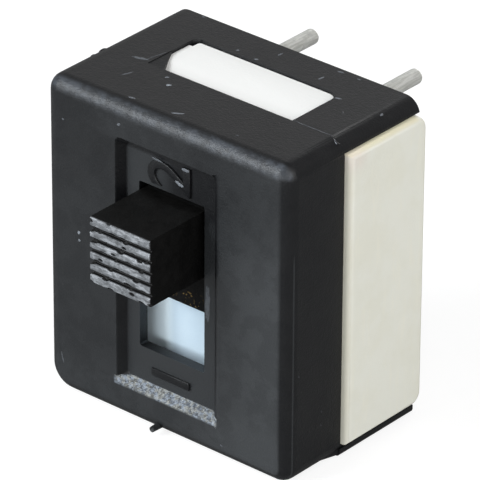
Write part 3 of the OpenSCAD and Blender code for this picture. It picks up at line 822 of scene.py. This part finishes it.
# Slider: one deep black moulding. Its square knob comes out through the slot and
# has six worn ribs for the thumb; its flat carriage runs behind the front wall
# and carries two hollow bosses for the sprung plungers.
RIBS = 6
GROOVE = 0.11
GROOVE_DEPTH = 0.15
CHIP_STRETCH = (1.7, 1.3, 0.85)
CHIP_SCALE = 1.45
CARRIAGE_FRONT, CARRIAGE_BACK = -3.465, -2.965
BOSS_ROOT, BOSS_END = -3.265, -1.415
BOSS_RADIUS = 0.7
BOSS_BORE_RADIUS = 0.49
knob_front = node_box("slider")[0].y
knob_x = 1.38
knob_low, knob_high = 6.78, 9.42
knob_middle = (knob_low + knob_high) / 2
knob = block("slide_knob", (-knob_x, knob_front, knob_low), (knob_x, CARRIAGE_FRONT + 0.1, knob_high))
pitch = (knob_high - knob_low) / RIBS
for index in range(1, RIBS):
    z = knob_low + index * pitch
    groove = block("groove", (-3, knob_front - 1, z - GROOVE / 2),
                   (3, knob_front + GROOVE_DEPTH, z + GROOVE / 2))
    round_edges(groove, lambda mid, way: mid.y > knob_front and abs(way.x) > ALONG, 0.045, 3)
    carve(knob, groove)
round_edges(knob, lambda mid, way: abs(mid.y - knob_front) < NEAR and abs(way.x) > ALONG, 0.11, 4)

# thumb wear has chipped the ribs at their ends, and nibbled them in between
CHIPS = ((-1.4, 9.28, 0.07), (-1.42, 8.93, 0.1), (-1.36, 8.5, 0.09), (-1.4, 8.12, 0.08), (-1.41, 7.63, 0.1),
         (-1.38, 7.2, 0.07), (-1.4, 6.82, 0.08), (1.4, 8.1, 0.06), (1.41, 7.25, 0.08), (1.4, 6.86, 0.06),
         (-0.3, 8.28, 0.05), (0.55, 7.02, 0.06), (-0.9, 7.85, 0.05), (0.2, 8.72, 0.05), (-1.15, 8.95, 0.06),
         (-0.75, 8.58, 0.06), (-0.15, 7.72, 0.07), (0.35, 7.3, 0.08), (0.75, 7.62, 0.06), (-0.55, 9.4, 0.05),
         (0.9, 8.45, 0.06), (-0.45, 6.82, 0.07), (1.0, 6.82, 0.07), (0.1, 9.05, 0.05), (-0.2, 8.1, 0.06))
NIBBLES = [(-1.3 + 0.118 * index, knob_low + (1 + 3 * index % 5) * pitch + 0.05 * (-1) ** index,
            0.05 + 0.012 * (index % 3)) for index in range(23)]
for x, z, radius in (*CHIPS, *NIBBLES):
    bpy.ops.object.select_all(action="DESELECT")
    bpy.ops.mesh.primitive_ico_sphere_add(subdivisions=2, radius=CHIP_SCALE * radius, scale=CHIP_STRETCH,
                                          location=(x, knob_front + 0.01, z))
    bake_place()
    carve(knob, bpy.context.object)
carriage = block("carriage", (-3.75, CARRIAGE_FRONT, 5.1), (3.75, CARRIAGE_BACK, 11.1))
round_edges(carriage, lambda mid, way: abs(way.y) > ALONG, 0.3, 4)
soften(carriage, 0.04)
for well_x in (-WELL_MIDDLE, WELL_MIDDLE):
    carve(carriage, rod("boss", BOSS_RADIUS, well_x, knob_middle, BOSS_ROOT, BOSS_END), join=True)
    carve(carriage, rod("boss_bore", BOSS_BORE_RADIUS, well_x, knob_middle, BOSS_ROOT, -1))
carve(knob, carriage, join=True)

KNOB_BLACK = (0.002, 0.0019, 0.0018)
WARM_BLACK = (0.0038, 0.0036, 0.0034)
BRASS_DUST_AND_GLINTS = (0.3, 0.2, 0.07)
WORN = (0.37, 0.385, 0.41)
black_slider, tree, skin, place = new_material("black_slider")
skin_mask = place_group(tree, mould_skin, Vector=place, Grain_per_mm=11.0, Clouds_per_mm=2.0)
x, y, z = split(tree, place)
at_ribs = spread(tree, y, knob_front + 0.075, knob_front + 0.02)
along_ribs = stretched(tree, place, (0.35, 1, 1.6))
rubbed = place_group(tree, scuffing, Vector=along_ribs, Patches_per_mm=3.0, Share=0.7)["Mask"]
fine_rub = place_group(tree, scuffing, Vector=place, Patches_per_mm=7.0, Share=0.6)["Mask"]
patchy = add(tree, times(tree, rubbed, 0.42), times(tree, fine_rub, 0.2))
less_rubbed = spread(tree, noise(tree, place, 2.4, 2.0), 0.38, 0.5, 0.6, 1.0)
worn = times(tree, at_ribs, times(tree, add(tree, patchy, 0.36), less_rubbed))
deep = blend_colour(tree, skin_mask["Clouds"], KNOB_BLACK, WARM_BLACK)
# the carriage is greased, and has brass-coloured specks along its lower edge, which are painted glints
greasy = times(tree, spread(tree, y, -3.8, -3.6), spread(tree, y, -2.9, -3.1))
brass_specks_and_glints = place_group(tree, scuffing, Vector=place, Patches_per_mm=7.0, Share=0.43)["Mask"]
brass_specks_and_glints = times(tree, brass_specks_and_glints, greasy, spread(tree, z, 5.9, 5.4))
deep = blend_colour(tree, brass_specks_and_glints, deep, BRASS_DUST_AND_GLINTS)
tree.links.new(blend_colour(tree, worn, deep, WORN), skin.inputs["Base Color"])
dull = add(tree, spread(tree, skin_mask["Grain"], 0.3, 0.7, 0.42, 0.56), times(tree, greasy, 0.4))
tree.links.new(dull, skin.inputs["Roughness"])
skin.inputs["Specular IOR Level"].default_value = 0.17
relief = times(tree, skin_mask["Grain"], spread(tree, at_ribs, 0, 1, 0.5, 1.6))
bump(tree, skin, add(tree, relief, times(tree, worn, 0.8)), 0.000028)
finish_piece(knob, "slider", "black_slider", black_slider, "slider")

# Plungers and rockers: two plungers turned from brass rod, and two contacts
# stamped from silvered copper. They are sealed in, and their shapes are the frame's.
BRASS = (0.56, 0.4, 0.17)
BRIGHT_BRASS = (0.68, 0.52, 0.26)
SILVER = (0.78, 0.77, 0.72)
TARNISH = (0.5, 0.44, 0.34)


def dress(name, material):
    """Gives a node of the frame its finish"""
    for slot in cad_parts[name].material_slots:
        slot.material = material


plunger_brass, tree, skin, place = new_material("plunger_brass")
turning = noise(tree, stretched(tree, place, (0.6, 14, 0.6)), 1.5, 2.0)
brass = blend_colour(tree, spread(tree, turning, 0.35, 0.65), BRASS, BRIGHT_BRASS)
tree.links.new(brass, skin.inputs["Base Color"])
skin.inputs["Metallic"].default_value = 1.0
tree.links.new(spread(tree, turning, 0.3, 0.7, 0.22, 0.36), skin.inputs["Roughness"])
bump(tree, skin, turning, 0.000006)

silvered_contact, tree, skin, place = new_material("silvered_contact")
silver = blend_colour(tree, spread(tree, noise(tree, place, 1.1, 4.0), 0.45, 0.75), SILVER, TARNISH)
tree.links.new(silver, skin.inputs["Base Color"])
skin.inputs["Metallic"].default_value = 1.0
rolled = noise(tree, stretched(tree, place, (10, 1, 1)), 1.2, 3.0)
tree.links.new(spread(tree, rolled, 0.3, 0.7, 0.2, 0.38), skin.inputs["Roughness"])
bump(tree, skin, rolled, 0.000008)

for hand in ("left", "right"):
    dress("plunger_" + hand, plunger_brass)
    dress("contact_rocker_" + hand, silvered_contact)

# Springs: two coils of hard-drawn steel wire, each between the bottom of its
# boss and the hollow of its plunger.
WIRE = 0.1
TURNS = 7
DARK_STEEL = (0.4, 0.41, 0.42)
BRIGHT_STEEL = (0.62, 0.63, 0.64)
spring_steel, tree, skin, place = new_material("spring_steel")
wire_lines = noise(tree, place, 16.0, 3.0)
steel = blend_colour(tree, spread(tree, wire_lines, 0.35, 0.7), DARK_STEEL, BRIGHT_STEEL)
tree.links.new(steel, skin.inputs["Base Color"])
skin.inputs["Metallic"].default_value = 1.0
tree.links.new(spread(tree, wire_lines, 0.3, 0.7, 0.2, 0.34), skin.inputs["Roughness"])

for hand in ("left", "right"):
    low, high = node_box("plunger_spring_" + hand)
    centre_x = (low.x + high.x) / 2
    coil_radius = (high.x - low.x - WIRE) / 2
    length = high.y - low.y
    bpy.ops.object.select_all(action="DESELECT")
    bpy.ops.mesh.primitive_circle_add(vertices=10, radius=WIRE / 2, location=(coil_radius, 0, 0),
                                      rotation=(quarter, 0, 0))
    coil = bpy.context.object
    coil.name = "spring_coil_" + hand
    bake_place()
    apply_modifier(coil, "SCREW", axis="Z", angle=2 * math.pi, iterations=TURNS, steps=24, render_steps=24,
                   screw_offset=(length - WIRE) / TURNS)
    bpy.ops.object.mode_set(mode="EDIT")
    bpy.ops.mesh.select_mode(type="VERT")
    bpy.ops.mesh.select_all(action="DESELECT")
    bpy.ops.mesh.select_non_manifold()
    bpy.ops.mesh.fill_holes(sides=0)
    bpy.ops.mesh.select_all(action="SELECT")
    bpy.ops.mesh.normals_make_consistent(inside=False)
    bpy.ops.object.mode_set(mode="OBJECT")
    coil.data.transform(Matrix.Rotation(-quarter, 4, "X"))
    coil.data.transform(Matrix.Translation((centre_x, low.y + WIRE / 2, knob_middle)))
    finish_piece(coil, "slider", "spring_steel", spring_steel, "plunger_spring_" + hand)
    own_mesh(coil)

# Camera: a long lens that looks at the switch from the right and a little above,
# as in a catalogue, and stands a hair out of level.
AZIMUTH, ELEVATION, ROLL = math.radians(40.552), math.radians(28.925), math.radians(0.251)
TARGET = Vector((0, -0.000775, 0.00635))
DISTANCE = 0.194
SENSOR = 36
FRAME = 480  # the lens and the frame's middle are given in 480ths of its width
LENS = 5448.5
MIDDLE_X, MIDDLE_Y = 230.289, 244.267
outward = Vector((math.sin(AZIMUTH) * math.cos(ELEVATION), -math.cos(AZIMUTH) * math.cos(ELEVATION),
                  math.sin(ELEVATION)))
right = (-outward).cross(Vector((0, 0, 1))).normalized()
up = right.cross(-outward)
turned_right = math.cos(ROLL) * right + math.sin(ROLL) * up
turned_up = math.cos(ROLL) * up - math.sin(ROLL) * right
camera_data = bpy.data.cameras.new("camera")
camera = bpy.data.objects.new("camera", camera_data)
bpy.context.scene.collection.objects.link(camera)
basis = Matrix((turned_right, turned_up, outward)).transposed().to_4x4()
camera.matrix_world = Matrix.Translation(TARGET + outward * DISTANCE) @ basis
camera_data.sensor_width = SENSOR
camera_data.lens = LENS * SENSOR / FRAME
camera_data.shift_x = (FRAME / 2 - MIDDLE_X) / FRAME
camera_data.shift_y = (MIDDLE_Y - FRAME / 2) / FRAME
camera_data.clip_start = 0.01
camera_data.clip_end = 10
bpy.context.scene.camera = camera


# Floor: a sheet of white paper under the switch. What lies in the open is white
# to the eye, and the soft shadow stays.
def seen_share(tree, eye, gloss):
    """How much of its own light a backdrop shows: to the eye, and in gloss and glass"""
    path = tree.nodes.new("ShaderNodeLightPath")
    mirrored = work(tree, "MAXIMUM", path.outputs["Is Glossy Ray"], path.outputs["Is Transmission Ray"])
    eye_light = times(tree, path.outputs["Is Camera Ray"], eye)
    return work(tree, "MAXIMUM", eye_light, times(tree, mirrored, gloss))


FLOOR_OWN_LIGHT = 0.8
FLOOR_IN_GLOSS = 0.06
PAPER = (0.28, 0.28, 0.28)
LIGHT_PAPER = (0.31, 0.31, 0.31)
bpy.ops.object.select_all(action="DESELECT")
bpy.ops.mesh.primitive_plane_add(size=3, location=(0, 0, -0.00001))
floor = bpy.context.object
floor.name = "floor"
paper, tree, skin, place = new_material("floor_paper")
fibre = noise(tree, place, 0.7, 4.0)
tree.links.new(blend_colour(tree, fibre, PAPER, LIGHT_PAPER), skin.inputs["Base Color"])
skin.inputs["Roughness"].default_value = 0.9
skin.inputs["Specular IOR Level"].default_value = 0.0
skin.inputs["Emission Strength"].default_value = 1.0
own_light = seen_share(tree, FLOOR_OWN_LIGHT, FLOOR_IN_GLOSS)
tree.links.new(blend_colour(tree, own_light, (0, 0, 0), (1, 1, 1)), skin.inputs["Emission Color"])
floor.data.materials.append(paper)

# Light: a tall soft panel in three parts at the front left, a weak one behind it,
# soft fills from the right, the upper right, the front and the back, and a dim room
ROOM_LIGHT = 0.065
ROOM_IN_GLOSS = 0.24
PANEL_DISTANCE = 0.3
PANEL_TARGET = Vector((0, 0, 0.006))
COOL = (0.93, 0.975, 1.0)
PLAIN = (1.0, 1.0, 1.0)
world = bpy.data.worlds.new("studio")
bpy.context.scene.world = world
world.use_nodes = True
tree = world.node_tree
room = tree.nodes["Background"]
room_share = add(tree, seen_share(tree, 1 - ROOM_LIGHT, ROOM_IN_GLOSS), ROOM_LIGHT)
tree.links.new(room_share, room.inputs["Strength"])
room.inputs["Color"].default_value = (1, 1, 1, 1)


def soft_panel(name, aim, span, width, height, strength, colour):
    """A light of even brightness that stands towards aim; its height runs along span"""
    data = bpy.data.lights.new(name, "AREA")
    data.shape = "RECTANGLE"
    data.size = width
    data.size_y = height
    data.energy = strength * math.pi * width * height
    data.color = colour
    panel = bpy.data.objects.new(name, data)
    bpy.context.scene.collection.objects.link(panel)
    aim = Vector(aim).normalized()
    span = Vector(span)
    span = (span - aim * span.dot(aim)).normalized()
    across = span.cross(aim)
    turn = Matrix((across, span, aim)).transposed().to_4x4()
    panel.matrix_world = Matrix.Translation(PANEL_TARGET + aim * PANEL_DISTANCE) @ turn
    panel.visible_camera = False


soft_panel("front_panel_low", (-0.42, -0.89, 0.16), (0, 0.3, 1), 0.16, 0.1, 3.0, COOL)
soft_panel("front_panel_middle", (-0.47, -0.7, 0.52), (0, 0.79, 0.61), 0.16, 0.14, 11.0, COOL)
soft_panel("front_panel_high", (-0.57, -0.2, 0.8), (0, 0.9, 0.4), 0.16, 0.14, 1.0, COOL)
soft_panel("back_panel", (-0.57, 0.7, 0.5), (0, 0, 1), 0.25, 0.2, 0.3, PLAIN)
soft_panel("right_fill", (0.93, -0.3, 0.35), (0, 0, 1), 0.36, 0.25, 1.92, PLAIN)
soft_panel("right_high_fill", (0.62, -0.1, 0.78), (0, 0.9, 0.4), 0.3, 0.25, 1.4, PLAIN)
soft_panel("front_fill", (0.05, -0.98, 0.15), (0, 0, 1), 0.34, 0.1, 4.0, COOL)
soft_panel("back_fill", (-0.2, 0.98, 0.04), (0, 0, 1), 0.2, 0.14, 5.0, PLAIN)
